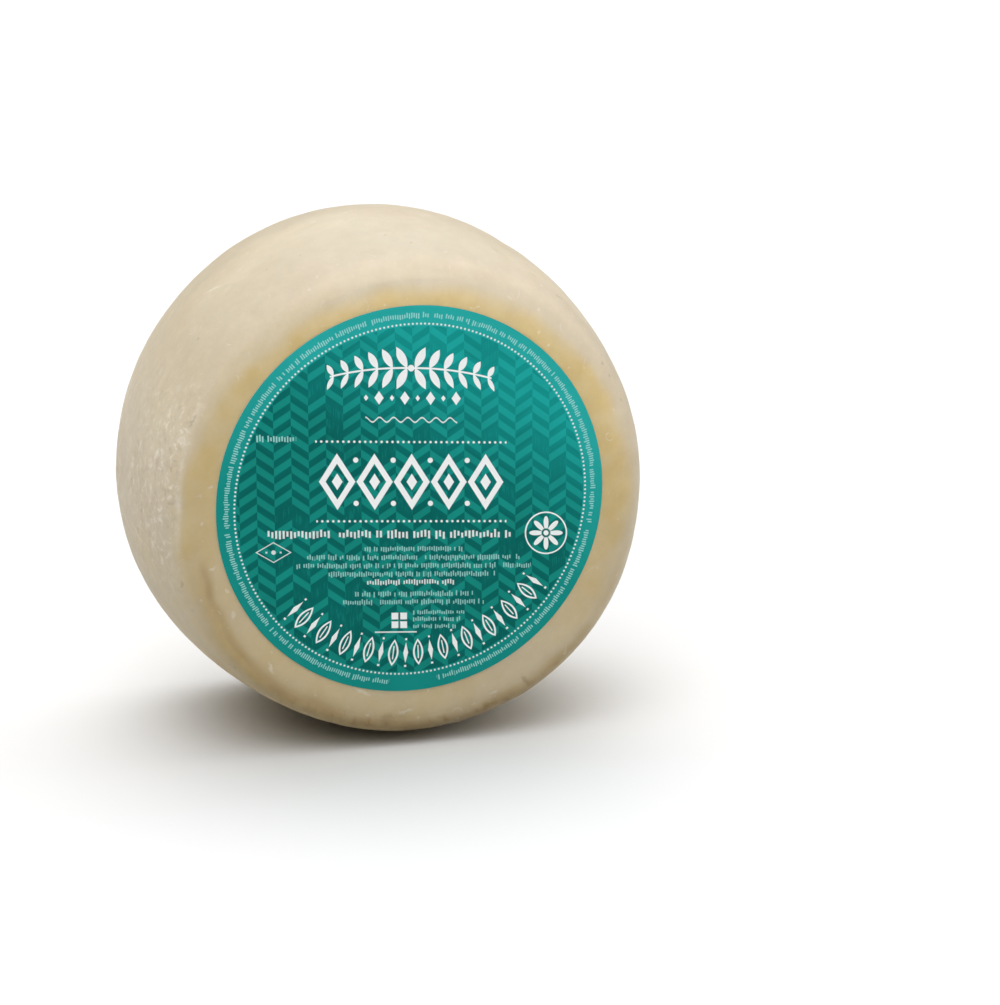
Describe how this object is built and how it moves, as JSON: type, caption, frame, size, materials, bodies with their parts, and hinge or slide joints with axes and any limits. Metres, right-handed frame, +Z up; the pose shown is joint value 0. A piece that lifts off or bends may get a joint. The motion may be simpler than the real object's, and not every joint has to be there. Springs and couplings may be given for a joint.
{
  "type": "goat cheese wheel",
  "caption": "Round wheel of young goat cheese with a smooth pale rind, bulging heel and soft shoulders, standing on its edge, with a round herringbone paper label on its front face.",
  "frame": {"origin": "on the floor, under the middle of the bounding box, in the flat spot that the wheel stands on", "axes": "+Z up, the wheel's axis horizontal along Y, the labelled face looking along -Y"},
  "size_m": [0.1848, 0.0964, 0.1846],
  "materials": {
    "cheese_rind": null,
    "label_paper": "coated label paper with a soft sheen, printed in two teals with white"
  },
  "bodies": {
    "root": {"cheese_wheel": "cheese_rind", "front_label": "label_paper"}
  },
  "joints": []
}
